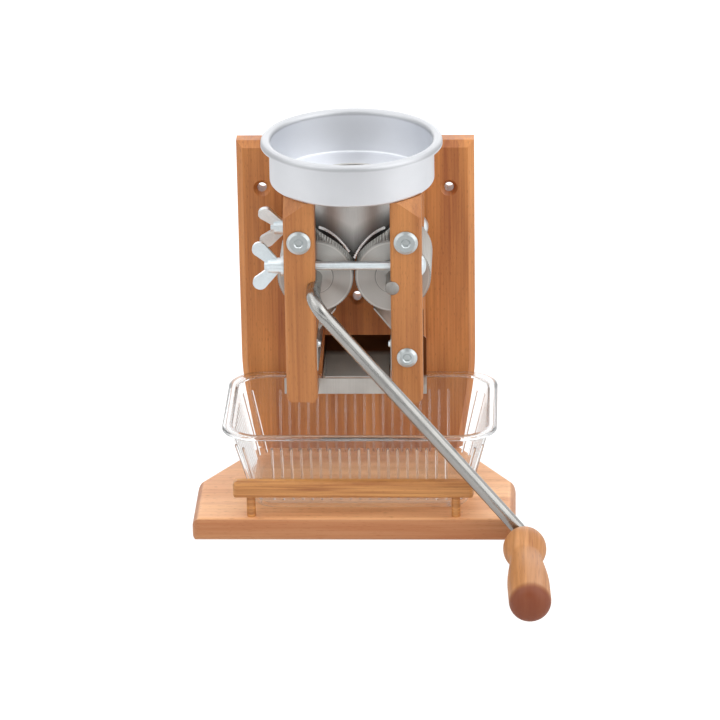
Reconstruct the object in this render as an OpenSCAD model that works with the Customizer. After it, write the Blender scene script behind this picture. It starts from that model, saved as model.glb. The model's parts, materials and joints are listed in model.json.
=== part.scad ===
// Hand-cranked grain flaker: a wooden stand with two grooved steel rollers,
// a pan that feeds them and a tray below.
// Millimetres. X runs to the right, Y away from the user and Z up,
// from the middle of the base plate's underside.

/* [Base] */
// width of the base plate across the front
base_w = 232.5; // [200:0.5:260]
// depth of the base plate from front to back
base_d = 143; // [138:1:170]
// depth of the straight sides before the clipped rear corners
base_side_d = 64; // [40:1:100]
// width of the base plate at its back edge
base_rear_w = 155; // [120:1:190]
// thickness of the base plate
base_t = 17; // [12:0.5:24]
// radius of the corners seen from above
base_corner_r = 7; // [2:0.5:15]
// radius of the rounded top edge at the front and the clipped corners
base_top_r = 3.5; // [1:0.5:6]
// width of the broader rounding along the sides
base_side_w = 6; // [2:0.5:8]
// height of that rounding
base_side_h = 8.5; // [3:0.5:8.5]
// radius of the rounded bottom edge
base_bottom_r = 3.5; // [1:0.5:3.5]

/* [Back board] */
// width of the board over its straight part
board_w = 172.5; // [160:0.5:200]
// height of the board above the base plate
board_h = 241.5; // [230:0.5:260]
// thickness of the board
board_t = 15; // [14:0.5:24]
// height above the base plate where the sides start to draw in
board_curve_z = 76; // [50:1:110]
// radius of the bend into the drawn-in foot
board_curve_r = 200; // [80:5:400]
// slope of the drawn-in foot
board_curve_angle = 9.2; // [2:0.2:14]
// bevel along the board's front edges
board_bevel = 4.5; // [1:0.5:5]
// bore of the wall-screw holes
wall_hole_d = 7; // [5:0.5:9]
// mouth of their countersinks
wall_hole_mouth_d = 12.5; // [10:0.5:16]
// distance between the two upper wall-screw holes
wall_hole_spacing = 136; // [120:1:150]
// height of the upper wall-screw holes above the base plate
wall_hole_z = 206; // [190:1:220]
// height of the lower wall-screw hole above the base plate
low_hole_z = 121; // [110:1:130]
// number of wood screws that hold the board to the base plate
base_screws_n = 3; // [2:1:4]
// distance between the outer two of them
base_screw_span = 110; // [80:1:120]
// thread diameter of those screws
base_screw_d = 4.5; // [3.5:0.5:6]
// length of those screws
base_screw_l = 45; // [35:1:60]

/* [Rail] */
// length of the rail in front of the tray
rail_w = 172.5; // [150:0.5:200]
// height of the rail's section
rail_h = 13; // [9:0.5:16]
// thickness of the rail from front to back
rail_t = 10; // [9:0.5:10]
// rounding of the rail
rail_r = 3.5; // [1:0.25:4]
// clear height under the rail
rail_lift = 15; // [10:0.5:18]
// clearance between the rail and the tray's fluted front wall
rail_gap = 0.3; // [0.2:0.05:3]
// diameter of the two dowels
dowel_d = 6.4; // [5:0.2:8]
// distance between the dowels
dowel_spacing = 147; // [120:1:150]
// depth that a dowel goes into the base plate
dowel_in_base = 9; // [5:0.5:10]
// depth that a dowel goes into the rail
dowel_in_rail = 8; // [4:0.5:8]

/* [Posts] */
// sideways offset of the mill from the middle of the base plate
mill_x = 1.7; // [-4:0.1:4]
// width of a post seen from the front
post_w = 22; // [18:0.5:26]
// thickness of a post from front to back
post_t = 22; // [18:0.5:23]
// height of a post
post_h = 151.5; // [146:0.5:160]
// clear height from the base plate to a post's foot
post_lift = 82.5; // [80:0.5:86]
// bevel along a post's edges
post_bevel = 1.5; // [0.5:0.25:3]
// bevel at a post's foot
post_foot_bevel = 3; // [1:0.5:5]
// width of the facet on a front post's outer top corner
facet_w = 17; // [8:1:20]
// height of that facet
facet_h = 12; // [6:1:20]
// depth of that facet from front to back
facet_d = 16; // [8:1:18]
// gap between the rear posts and the board
board_gap = 7.5; // [7:0.5:14]

/* [Rollers] */
// diameter of a roller over its lands
roller_d = 54; // [50:0.5:58]
// length of a roller
roller_l = 54; // [48:0.5:56]
// gap between the two rollers
nip = 1.2; // [1:0.1:2.5]
// number of grooves round a roller
grooves = 84; // [40:1:100]
// width of a groove at the surface
groove_w = 1.1; // [0.6:0.05:1.4]
// depth of a groove
groove_h = 0.5; // [0.3:0.05:0.8]
// length of the plain collar at each end of a roller
collar_l = 1; // [0.5:0.1:2]
// diameter of the hub face at each end
hub_d = 25; // [18:0.5:32]
// height of the hub face
hub_h = 0.7; // [0.4:0.1:0.8]
// height of the axles above the base plate
axle_z = 170; // [168:0.5:172]
// diameter of the crank rod and of the axles
axle_d = 10; // [8:0.25:10.5]
// how far the right axle stands out of its front post
axle_out = 0.5; // [0.2:0.1:3]
// height of the right axle's rounded end
axle_nose = 1.6; // [0.5:0.1:4]
// depth of the axle's centre behind the posts' inner faces
post_bite = 1; // [0.5:0.1:2]

/* [Crank] */
// distance from the axle to the handle's pin
crank_r = 231; // [190:0.5:250]
// angle of the arm from straight down
crank_angle = 39.7; // [0:0.1:90]
// clearance from the base plate's front edge to the rod
crank_gap = 2.5; // [2:0.5:12]
// centre-line radius of the bend at the axle
bend_r = 15; // [12:0.5:18]
// centre-line radius of the bend at the handle
pin_bend_r = 8; // [7:0.5:14]
// lean of the handle's pin away from the axle
pin_splay = 4.3; // [0:0.1:8]

/* [Handle] */
// length of the turned grip
grip_l = 102; // [85:0.5:120]
// diameter of the ball next to the arm
grip_ball_d = 30.8; // [26:0.2:36]
// diameter of the waist
grip_waist_d = 22; // [18:0.5:26]
// largest diameter of the grip near its end
grip_end_d = 29.6; // [24:0.5:34]
// length of the pin inside the grip
pin_l = 78; // [60:0.5:80]
// outside diameter of the retaining ring on the pin
ring_d = 13; // [12.5:0.25:14]
// thickness of the retaining ring
ring_t = 1.2; // [0.8:0.1:2]
// distance of the retaining ring from the pin's end
ring_back = 5; // [3:0.5:10]

/* [Hopper] */
// sideways offset of the hopper as it stands, from the mill's middle
hopper_shift = -1.4; // [-2:0.1:2]
// how far the hopper stands in front of the rollers' middle
hopper_fore = 2; // [1:0.5:4]
// outside diameter of the pan's wall
pan_d = 117; // [105:0.5:118]
// width of the pan's rolled rim
rim_w = 6; // [4:0.25:12]
// height of the pan
pan_h = 32.5; // [22:0.5:45]
// thickness of the pan's sheet
pan_wall = 1; // [0.8:0.1:1.5]
// outside radius of the pan's bottom edge
pan_edge_r = 2.5; // [1.5:0.25:14]
// straight length of the rim's lip below its roll
rim_lip = 1.2; // [0.5:0.1:5]
// outside diameter of the tapered feed tube at the height of the rollers' tops
tube_d = 54; // [44:0.5:56]
// outside diameter of the feed tube at the pan's floor
tube_top_d = 57; // [50:0.5:58]
// thickness of the feed tube
tube_wall = 1.2; // [0.8:0.1:2]
// clearance between the feed tube's cut edge and the rollers
tube_roller_gap = 3.2; // [1.5:0.1:5]
// width of the tube's flange on the pan's floor
tube_flange = 1.5; // [1:0.5:8]
// thickness of that flange
tube_flange_t = 1; // [0.6:0.1:1.5]

/* [Scrapers and chute] */
// thickness of the scraper sheets
scraper_t = 0.8; // [0.5:0.1:1.2]
// height of a scraper's bend above the base plate
scraper_bend_z = 130; // [127:0.5:133]
// height of a scraper's lower edge above the base plate
scraper_low_z = 106; // [104:0.5:110]
// clearance between a scraper's edge and its roller
scraper_gap = 1.2; // [0.6:0.1:2]
// direction from the roller's axle to the scraper's edge, from straight down
scraper_angle = 29; // [20:1:36]
// thread diameter of the scraper screws
scraper_screw_d = 3; // [2.5:0.25:4]
// length of the scraper screws
scraper_screw_l = 12; // [8:0.5:16]
// height of the scraper screws above the lower frame bolt
scraper_screw_up = 6; // [5:0.5:8]
// thickness of the chute's sheet
chute_t = 0.8; // [0.5:0.1:1.2]
// width of the chute's passage
chute_w = 49; // [40:0.5:50]
// height of the chute's lower edge above the base plate
chute_low_z = 80; // [76:0.5:81]
// height of the chute's front lip
chute_lip_h = 12; // [6:0.5:16]
// height of the chute's sloping slide
chute_back_h = 23; // [14:0.5:24]
// top of the chute's fixing tabs above the base plate
chute_tab_z = 126; // [124:0.5:128]
// overhang of the front plate past the right post
chute_over_right = 2.2; // [0.5:0.1:5]
// how far the rear plate stays inside the right post's outer face
chute_rear_inset = 1; // [0:0.5:4]
// overhang of the front plate past the left post
chute_over_left = 2.8; // [0.5:0.1:6]
// length of the sloping slide from back to front
chute_run = 25; // [15:1:28]
// height of the flange at the slide's top
chute_flange_h = 6; // [3:0.5:10]

/* [Tray] */
// sideways offset of the tray as it stands
tray_x = 4.5; // [-8:0.5:8]
// width over the tray's rim
tray_w = 197; // [180:1:204]
// how far the tray's rim stands past the base plate's front edge
tray_overhang = 0.7; // [0:0.1:3]
// height of the tray
tray_h = 63.5; // [58:0.5:68]
// slope of the tray's walls
tray_flare = 14.6; // [12:0.1:16]
// thickness of the tray's walls
tray_wall = 1.8; // [1.2:0.1:2.5]
// width of the tray's rim
tray_rim_w = 5; // [4:0.25:5.5]
// thickness of the tray's rim
tray_rim_t = 2; // [1:0.25:4]
// radius of the tray's corners at the rim
tray_corner_r = 20; // [12:0.5:24]
// distance from the tray's rim to the board
tray_back_gap = 3.4; // [2:0.1:3.5]
// radius of a flute on the tray's walls
flute_r = 1; // [0.6:0.05:1]
// spacing of the flutes
flute_pitch = 6.9; // [5:0.1:10]
// height of the flutes' tops above the tray's bottom
flute_h = 51.5; // [30:0.5:54]
// height of the flutes' lower ends above the tray's bottom
flute_foot = 4; // [2:0.5:10]
// number of flutes round each of the tray's corners
corner_flutes = 2; // [1:1:3]

/* [Fasteners] */
// thread diameter of the frame bolts and the tie bolts
bolt_d = 6; // [5:0.25:6.5]
// head diameter of the upper frame bolts
bolt_head_d = 17; // [14:0.25:19]
// head diameter of the lower frame bolt
low_bolt_head_d = 14.5; // [13:0.25:19]
// head height of the frame bolts
bolt_head_h = 2.4; // [1.5:0.1:4]
// width of the chamfer round a frame bolt's head
bolt_chamfer = 2; // [0.5:0.1:3]
// width of the hexagon sockets
hex_w = 5; // [3:0.25:5.5]
// depth of the frame bolts' hexagon sockets
hex_depth = 1.8; // [1:0.1:2]
// sideways distance of the frame bolts from the mill's middle
bolt_x = 37.7; // [36:0.1:39]
// height of the upper frame bolts above the base plate
bolt_z = 204.4; // [203:0.2:208]
// height of the lower frame bolt above the base plate
low_bolt_z = 117.4; // [114:0.2:118]
// outside diameter of the spacer tubes
spacer_d = 10; // [8.5:0.25:11]
// outside diameter of a sleeve nut
sleeve_d = 9; // [8.5:0.25:11]
// length of a sleeve nut
sleeve_l = 10; // [6:0.5:11]
// head diameter of a sleeve nut
sleeve_head_d = 15; // [13:0.25:19]
// head height of a sleeve nut
sleeve_head_h = 1.8; // [1:0.1:3]
// height of the tie bolts above the axles
tie_up = 13; // [12.5:0.1:14]
// head diameter of the tie bolts
tie_head_d = 14; // [12:0.25:16]
// head height of the tie bolts
tie_head_h = 3; // [2:0.1:4]
// outside diameter of the tie washers
washer_d = 15; // [13:0.25:16]
// thickness of the tie washers
washer_t = 2; // [1:0.1:2.5]
// height of a wing nut's hub
nut_h = 9.5; // [8:0.5:14]
// diameter of a wing nut's hub at its foot
nut_foot_d = 11.5; // [11:0.25:15]
// diameter of a wing nut's hub at its top
nut_top_d = 10.5; // [9:0.25:13]
// distance from a wing nut's axis to the middle of a wing's lobe
wing_out = 12.5; // [9:0.1:12.7]
// diameter of a wing's lobe
wing_d = 10.5; // [7:0.1:11]
// thickness of the wings
wing_t = 2.8; // [2:0.1:4]
// height of the lobes' middle above a wing nut's foot
wing_up = 15.2; // [8:0.1:17]
// turn of the rear wing nut from upright
rear_nut_turn = 19; // [0:1:90]
// length of a tie bolt's thread past its wing nut
tie_stub = 2.4; // [1:0.1:5]

/* [Clearances] */
// play on each side of a piece that turns in a bore, on its radius
run_c = 0.05; // [0.02:0.01:0.1]
// play of a piece that is pressed or glued in, on its radius
press_c = 0.02; // [0.01:0.01:0.04]
// play of a bolt in a through-hole, on its radius
bolt_c = 0.2; // [0.1:0.05:0.4]
// play of the tie bolts in the posts, on their radius
tie_c = 0.7; // [0.6:0.05:1]
// play of the tie washers against the swinging posts
washer_gap = 0.3; // [0.3:0.05:0.6]
// play of the swinging posts between their neighbours, at each face
swing_c = 0.15; // [0.05:0.05:0.3]
// gap from the swinging posts' tops to the pan
swing_top = 0.5; // [0.5:0.05:1]
// play of the rollers between the posts, at each end
end_play = 1; // [0.9:0.05:1.5]

/* [Part] */
// piece to draw, or all

/* [Hidden] */
$fn = 64;

e = 0.01;
// heights and depths that several pieces share
top = base_t;
front = -base_d / 2;
back = base_d / 2;
board_y = back - board_t;
rear_y = board_y - board_gap - post_t;
front_y = rear_y - 2 * end_play - roller_l - post_t;
roller_y = front_y + post_t + end_play;
mill_y = roller_y + roller_l / 2;
axle_h = top + axle_z;
axle_x = (roller_d + nip) / 2;
post_in = axle_x - post_bite;
post_out = post_in + post_w;
post_z = top + post_lift;
post_top = post_z + post_h;
tie_h = axle_h + tie_up;
scraper_screw_h = top + low_bolt_z + scraper_screw_up;
tie_front_y = front_y + post_t / 2;
tie_rear_y = rear_y + post_t / 2;
crank_y = front - crank_gap - axle_d / 2;
tray_y0 = front - tray_overhang;
tray_y1 = board_y - tray_back_gap;
tray_d = tray_y1 - tray_y0;
tray_in = tan(tray_flare);
rail_back = tray_y0 + tray_rim_w + (tray_h - rail_lift - rail_h) * tray_in - flute_r - rail_gap;
rail_y = rail_back - rail_t;
pin_turn = 90 - pin_splay;
pin_start = pin_bend_r * tan(pin_turn / 2);
grip_start = pin_start + 0.5;
pin_end = grip_start + pin_l;
wood = "#b8783f";
pale_wood = "#cf9a5c";
steel = "#b9bcbd";
zinc = "#cdd3d6";
alu = "#d9dce2";

module along_y(x, y, z) {
  translate([x, y, z]) rotate([-90, 0, 0]) children();
}

module along_x(x, y, z) {
  translate([x, y, z]) rotate([0, 90, 0]) children();
}

// a low dome on a flat round foot
module dome(d, h) {
  r = (d * d / 4 + h * h) / (2 * h);
  steps = 8;
  rim = asin(d / 2 / r);
  rotate_extrude() polygon(concat([[0, 0]],
    [for (i = [steps : -1 : 0]) let (a = rim * i / steps) [r * sin(a), h - r + r * cos(a)]]));
}

// the base plate's plan, counter-clockwise from the left front corner
base_plan = [[-base_w / 2, front], [base_w / 2, front], [base_w / 2, front + base_side_d],
  [base_rear_w / 2, board_y], [base_rear_w / 2, back], [-base_rear_w / 2, back],
  [-base_rear_w / 2, board_y], [-base_w / 2, front + base_side_d]];

// everything on the inner side of one edge of the plan, with that edge rounded over at its top and bottom
module base_edge(i) {
  p = base_plan[i];
  v = base_plan[(i + 1) % 8] - p;
  d = v / norm(v);
  reach = 3 * base_w;
  side = i == 1 || i == 7;
  w = side ? base_side_w : base_top_r;
  h = side ? base_side_h : base_top_r;
  translate([p[0] - d[0] * base_w, p[1] - d[1] * base_w, 0])
    rotate([0, 0, atan2(d[0], -d[1])]) rotate([90, 0, 0]) linear_extrude(reach)
      polygon(concat(
        [for (a = [90 : -15 : 0]) [base_bottom_r * (1 - sin(90 - a)), base_bottom_r * (1 - cos(90 - a))] ],
        [for (a = [0 : 15 : 90]) [w * (1 - cos(a)), base_t - h * (1 - sin(a))]],
        [[reach, base_t], [reach, 0]]));
}

module base_body() {
  r = base_corner_r;
  x = base_w / 2 - r;
  intersection() {
    linear_extrude(base_t) polygon(concat(
      [for (a = [180 : 15 : 270]) [-x + r * cos(a), front + r + r * sin(a)]],
      [for (a = [270 : 15 : 360]) [x + r * cos(a), front + r + r * sin(a)]],
      [for (i = [2 : 7]) base_plan[i]]));
    base_edge(0);
    base_edge(1);
    base_edge(2);
    base_edge(6);
    base_edge(7);
  }
}

function screw_x(i) = -base_screw_span / 2 + i * base_screw_span / (base_screws_n - 1);
screw_y = board_y + board_t / 2;
screw_sink = 0.3;
screw_head_d = base_screw_d * 2;

module base_screw(c) {
  cylinder(d = base_screw_d + 2 * c, h = base_screw_l + c);
  cylinder(d1 = screw_head_d + 2 * c, d2 = base_screw_d + 2 * c, h = base_screw_d / 2);
}

module base_plate() {
  color(pale_wood) difference() {
    base_body();
    for (s = [-1, 1])
      translate([s * dowel_spacing / 2, rail_y + rail_t / 2, base_t - dowel_in_base])
        cylinder(d = dowel_d + 2 * press_c, h = dowel_in_base + 1);
    for (i = [0 : base_screws_n - 1])
      translate([screw_x(i), screw_y, 0]) {
        translate([0, 0, screw_sink]) base_screw(press_c);
        translate([0, 0, -1]) cylinder(d = screw_head_d + 2 * press_c, h = 1 + screw_sink);
      }
  }
}

module base_screws() {
  color(zinc) for (i = [0 : base_screws_n - 1])
    translate([screw_x(i), screw_y, screw_sink]) difference() {
      base_screw(0);
      translate([0, 0, -e]) cylinder(d = base_screw_d * 0.6, h = 1.6, $fn = 6);
    }
}

// the board's outline from the front, reaching a little below the base plate's top
// so that the foot stays square
function board_side(inset) = [for (i = [0 : 8])
  let (a = board_curve_angle * i / 8)
  [board_w / 2 - inset - board_curve_r * (1 - cos(a)), top + board_curve_z - board_curve_r * sin(a)]];
board_foot_z = top - base_t / 2;
function board_foot(inset) =
  let (p = board_side(inset)[8])
  [p[0] - (p[1] - board_foot_z) * tan(board_curve_angle), board_foot_z];

module board_shape(inset) {
  side = concat([[board_w / 2 - inset, top + board_h - inset]], board_side(inset), [board_foot(inset)]);
  polygon(concat(side, [for (i = [len(side) - 1 : -1 : 0]) [-side[i][0], side[i][1]]]));
}

module board_slab(inset, t) {
  translate([0, back, 0]) rotate([90, 0, 0]) linear_extrude(t) board_shape(inset);
}

module wall_hole(x, z) {
  cone = (wall_hole_mouth_d - wall_hole_d) / 2;
  along_y(x, board_y - 1, z) cylinder(d = wall_hole_d, h = board_t + 2);
  along_y(x, board_y, z) cylinder(d1 = wall_hole_mouth_d, d2 = wall_hole_d, h = cone);
  along_y(x, board_y - 1, z) cylinder(d = wall_hole_mouth_d, h = 1);
}

module at_frame_bolts() {
  for (s = [-1, 1])
    translate([mill_x + s * bolt_x, 0, top + bolt_z]) children();
  translate([mill_x + bolt_x, 0, top + low_bolt_z]) children();
}

module back_board() {
  color(wood) difference() {
    hull() {
      board_slab(0, board_t - board_bevel);
      board_slab(board_bevel, board_t);
    }
    translate([-board_w, board_y - 1, top - base_t]) cube([2 * board_w, board_t + 2, base_t]);
    for (s = [-1, 1])
      wall_hole(s * wall_hole_spacing / 2, top + wall_hole_z);
    wall_hole(0, top + low_hole_z);
    at_frame_bolts() {
      along_y(0, board_y - 1, 0) cylinder(d = bolt_d + 2 * bolt_c, h = board_t + 2);
      along_y(0, back - sleeve_l - sleeve_head_h, 0)
        cylinder(d = sleeve_d + 2 * press_c, h = sleeve_l + sleeve_head_h + 1);
      along_y(0, back - sleeve_head_h, 0)
        cylinder(d = sleeve_head_d + 2 * bolt_c, h = sleeve_head_h + 1);
    }
    for (i = [0 : base_screws_n - 1])
      translate([screw_x(i), screw_y, top - 1])
        cylinder(d = base_screw_d + 2 * press_c, h = base_screw_l + screw_sink - base_t + 1.5);
  }
}

// outline of a rectangle with its corners rounded in short steps
module round_rect(x0, y0, x1, y1, r) {
  polygon([for (k = [0 : 3], a = [0 : 15 : 90])
    let (cx = k == 0 || k == 3 ? x1 - r : x0 + r, cy = k < 2 ? y1 - r : y0 + r)
    [cx + r * cos(a + 90 * k), cy + r * sin(a + 90 * k)]]);
}

module rail() {
  z = top + rail_lift;
  x = rail_w / 2;
  y0 = rail_y;
  y1 = rail_y + rail_t;
  color(wood) difference() {
    intersection() {
      translate([-x - 1, 0, 0]) rotate([90, 0, 90]) linear_extrude(rail_w + 2)
        round_rect(y0, z, y1, z + rail_h, rail_r);
      translate([0, y1 + 1, 0]) rotate([90, 0, 0]) linear_extrude(rail_t + 2)
        round_rect(-x, z, x, z + rail_h, rail_r);
      translate([0, 0, z - 1]) linear_extrude(rail_h + 2)
        round_rect(-x, y0, x, y1, rail_r);
    }
    for (s = [-1, 1])
      translate([s * dowel_spacing / 2, y0 + rail_t / 2, z - 1])
        cylinder(d = dowel_d + 2 * press_c, h = dowel_in_rail + 1);
  }
}

module rail_dowels() {
  color(wood) for (s = [-1, 1])
    translate([s * dowel_spacing / 2, rail_y + rail_t / 2, top - dowel_in_base + 0.5])
      cylinder(d = dowel_d, h = dowel_in_base + rail_lift + dowel_in_rail - 1);
}

// outline of a rectangle with its corners cut off
module cut_rect(x0, y0, x1, y1, c) {
  polygon([[x0 + c, y0], [x1 - c, y0], [x1, y0 + c], [x1, y1 - c],
           [x1 - c, y1], [x0 + c, y1], [x0, y1 - c], [x0, y0 + c]]);
}

// one right-hand post in the mill's own frame; play thins it at both faces and lowers its top
module post(y, play, lower, facet, low_bolt) {
  y0 = y + play;
  y1 = y + post_t - play;
  h = post_h - lower;
  b = post_foot_bevel;
  difference() {
    intersection() {
      translate([0, 0, post_z]) linear_extrude(h) cut_rect(post_in, y0, post_out, y1, post_bevel);
      translate([0, y1 + 1, 0]) rotate([90, 0, 0]) linear_extrude(post_t + 2)
        polygon([[post_in + b, post_z], [post_out - b, post_z], [post_out, post_z + b],
                 [post_out, post_z + h], [post_in, post_z + h], [post_in, post_z + b]]);
    }
    if (facet) {
      n = [1 / facet_w, -1 / facet_d, 1 / facet_h];
      translate([post_out, y0, post_z + h])
        rotate([0, acos(n[2] / norm(n)), atan2(n[1], n[0])])
          translate([-post_h, -post_h, -1 / norm(n)]) cube([2 * post_h, 2 * post_h, post_h]);
    }
    along_y(axle_x, y - 1, axle_h) cylinder(d = axle_d + 2 * run_c, h = post_t + 2);
    along_y(bolt_x, y - 1, top + bolt_z)
      cylinder(d = bolt_d + 2 * (play > 0 ? run_c : bolt_c), h = post_t + 2);
    if (low_bolt)
      along_y(bolt_x, y - 1, top + low_bolt_z) cylinder(d = bolt_d + 2 * bolt_c, h = post_t + 2);
    along_x(post_in - 1, y + post_t / 2, tie_h) cylinder(d = bolt_d + 2 * tie_c, h = post_w + 2);
    along_x(post_in - 1, y + post_t / 2, scraper_screw_h)
      cylinder(d = scraper_screw_d + 2 * press_c, h = scraper_screw_l - scraper_t + 1.5);
  }
}

module post_right_front() {
  color(pale_wood) translate([mill_x, 0, 0]) post(front_y, 0, 0, true, true);
}

module post_right_rear() {
  color(pale_wood) translate([mill_x, 0, 0]) post(rear_y, 0, 0, false, true);
}

module post_left_front() {
  color(pale_wood) translate([mill_x, 0, 0]) mirror([1, 0, 0])
    post(front_y, swing_c, swing_top, true, false);
}

module post_left_rear() {
  color(pale_wood) translate([mill_x, 0, 0]) mirror([1, 0, 0])
    post(rear_y, swing_c, swing_top, false, false);
}

// a long bolt with a broad chamfered head, from the front post into its sleeve nut
module frame_bolt(head_d) {
  edge = bolt_head_h / 2;
  r = head_d / 2;
  socket_d = hex_w / cos(30);
  along_y(0, front_y, 0) cylinder(d = bolt_d, h = back - sleeve_head_h - front_y - 0.5);
  along_y(0, front_y - bolt_head_h, 0) difference() {
    rotate_extrude() polygon([[0, 0], [r - bolt_chamfer, 0], [r, edge], [r, bolt_head_h], [0, bolt_head_h]]);
    translate([0, 0, -1]) cylinder(d = socket_d, h = 1 + hex_depth, $fn = 6);
    translate([0, 0, -e]) cylinder(d1 = socket_d + 1, d2 = socket_d - 1, h = 1);
  }
}

module frame_bolts() {
  color(zinc) {
    for (s = [-1, 1])
      translate([mill_x + s * bolt_x, 0, top + bolt_z]) frame_bolt(bolt_head_d);
    translate([mill_x + bolt_x, 0, top + low_bolt_z]) frame_bolt(low_bolt_head_d);
  }
}

module tube_along_y(y0, y1, d) {
  along_y(0, y0, 0) difference() {
    cylinder(d = d, h = y1 - y0);
    translate([0, 0, -1]) cylinder(d = bolt_d + 2 * bolt_c, h = y1 - y0 + 2);
  }
}

module bolt_spacers() {
  y0 = front_y + post_t;
  color(zinc) {
    for (s = [-1, 1])
      translate([mill_x + s * bolt_x, 0, top + bolt_z]) tube_along_y(y0, rear_y, spacer_d);
    translate([mill_x + bolt_x, 0, top + low_bolt_z])
      tube_along_y(y0 + chute_t, rear_y - chute_t, spacer_d);
  }
}

module board_spacers() {
  color(zinc) at_frame_bolts() tube_along_y(rear_y + post_t, board_y, spacer_d + 4);
}

module sleeve_nuts() {
  color(zinc) at_frame_bolts() difference() {
    union() {
      along_y(0, back - sleeve_head_h - sleeve_l + 0.3, 0) cylinder(d = sleeve_d, h = sleeve_l);
      along_y(0, back - sleeve_head_h, 0) cylinder(d = sleeve_head_d, h = sleeve_head_h - 0.2);
    }
    along_y(0, back - sleeve_head_h - sleeve_l - 1, 0) cylinder(d = bolt_d + 2 * press_c, h = sleeve_l + 1);
    along_y(0, back - sleeve_head_h - 0.6, 0) cylinder(d = hex_w / cos(30), h = sleeve_head_h + 2, $fn = 6);
  }
}

module tie_bolt(y) {
  left = post_out + washer_gap + washer_t + nut_h + tie_stub;
  along_x(mill_x - left, y, tie_h) cylinder(d = bolt_d, h = left + post_out);
  along_x(mill_x + post_out, y, tie_h) dome(tie_head_d, tie_head_h);
}

module tie_bolts() {
  color(zinc) {
    tie_bolt(tie_front_y);
    tie_bolt(tie_rear_y);
  }
}

module tie_washer(y) {
  color(zinc) along_x(mill_x - post_out - washer_gap - washer_t, y, tie_h) difference() {
    cylinder(d = washer_d, h = washer_t);
    translate([0, 0, -1]) cylinder(d = bolt_d + 2 * bolt_c, h = washer_t + 2);
  }
}

module tie_washer_front() {
  tie_washer(tie_front_y);
}

module tie_washer_rear() {
  tie_washer(tie_rear_y);
}

// a wing nut with its axis along Z and its foot at Z = 0
module wing_nut() {
  root = nut_foot_d / 2 - 1.5;
  difference() {
    union() {
      cylinder(d1 = nut_foot_d, d2 = nut_top_d, h = nut_h);
      for (s = [-1, 1])
        translate([0, wing_t / 2, 0]) rotate([90, 0, 0]) linear_extrude(wing_t) union() {
          polygon([[s * 1, 1.5], [s * root, 1.5], [s * (wing_out + wing_d * 0.36), wing_up - wing_d * 0.34],
                   [s * (wing_out - wing_d * 0.36), wing_up + wing_d * 0.34], [s * 1, nut_h - 1]]);
          translate([s * wing_out, wing_up]) circle(d = wing_d);
        }
    }
    translate([0, 0, -1]) cylinder(d = bolt_d + 2 * run_c, h = wing_up + 1);
  }
}

module wing_nut_at(y, turn) {
  color(zinc) translate([mill_x - post_out - washer_gap - washer_t, y, tie_h])
    rotate([0, -90, 0]) rotate([0, 0, -turn]) wing_nut();
}

module wing_nut_front() {
  wing_nut_at(tie_front_y, 0);
}

module wing_nut_rear() {
  wing_nut_at(tie_rear_y, rear_nut_turn);
}

// cross-section of a grooved roller: flat lands with V grooves between them
function roller_points() = let (
    r = roller_d / 2,
    step = 360 / grooves,
    half = groove_w / roller_d * 180 / PI)
  [for (i = [0 : grooves - 1], k = [0 : 2])
    let (a = i * step + (k == 0 ? -half : k == 1 ? 0 : half), q = k == 1 ? r - groove_h : r)
    [q * cos(a), q * sin(a)]];

module roller() {
  end_d = roller_d - 2 * groove_h - 0.6;
  difference() {
    union() {
      along_y(0, roller_y + collar_l, 0) linear_extrude(roller_l - 2 * collar_l) polygon(roller_points());
      along_y(0, roller_y, 0) cylinder(d = end_d, h = roller_l);
      along_y(0, roller_y - hub_h, 0) cylinder(d = hub_d, h = roller_l + 2 * hub_h);
    }
    along_y(0, roller_y - 2, 0) cylinder(d = axle_d + 2 * press_c, h = roller_l + 4);
  }
}

module roller_left() {
  color(steel) translate([mill_x - axle_x, 0, axle_h]) roller();
}

module roller_right() {
  color(steel) translate([mill_x + axle_x, 0, axle_h]) roller();
}

axle_back = rear_y + post_t - 0.5;

module axle_right() {
  color(steel) translate([mill_x + axle_x, front_y - axle_out, axle_h]) {
    along_y(0, 0, 0) cylinder(d = axle_d, h = axle_back - front_y + axle_out);
    rotate([90, 0, 0]) dome(axle_d, axle_nose);
  }
}

// the crank hangs straight down in its own frame, with the axle along Y through the origin
module in_crank() {
  translate([mill_x - axle_x, 0, axle_h]) rotate([0, -crank_angle, 0]) children();
}

// the handle's pin runs along Z from the corner between arm and pin
module in_pin() {
  in_crank() translate([0, crank_y, -crank_r]) rotate([90 + pin_splay, 0, 0]) children();
}

// the bends are a hair thinner than the straight lengths, which reach a little way into them
module crank_rod() {
  k = 0.3;
  bend_d = axle_d - 0.06;
  color(steel) {
    in_crank() {
      along_y(0, crank_y + bend_r - k, 0)
        cylinder(d = axle_d, h = axle_back - crank_y - bend_r + k);
      translate([0, crank_y + bend_r, -bend_r]) rotate([90, 0, 90]) rotate([0, 0, 90])
        rotate_extrude(angle = 90) translate([bend_r, 0]) circle(d = bend_d);
      translate([0, crank_y, -crank_r + pin_start - k])
        cylinder(d = axle_d, h = crank_r - pin_start - bend_r + 2 * k);
      translate([0, crank_y - pin_bend_r, -crank_r + pin_start])
        rotate([90, 0, 90]) rotate([0, 0, -pin_turn])
          rotate_extrude(angle = pin_turn) translate([pin_bend_r, 0]) circle(d = bend_d);
    }
    in_pin() difference() {
      translate([0, 0, pin_start - k]) cylinder(d = axle_d, h = pin_end - pin_start + k);
      translate([0, 0, pin_end - ring_back]) difference() {
        cylinder(d = axle_d + 2, h = ring_t + 2 * press_c);
        translate([0, 0, -1]) cylinder(d = axle_d - 2, h = ring_t + 3);
      }
    }
  }
}

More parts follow.
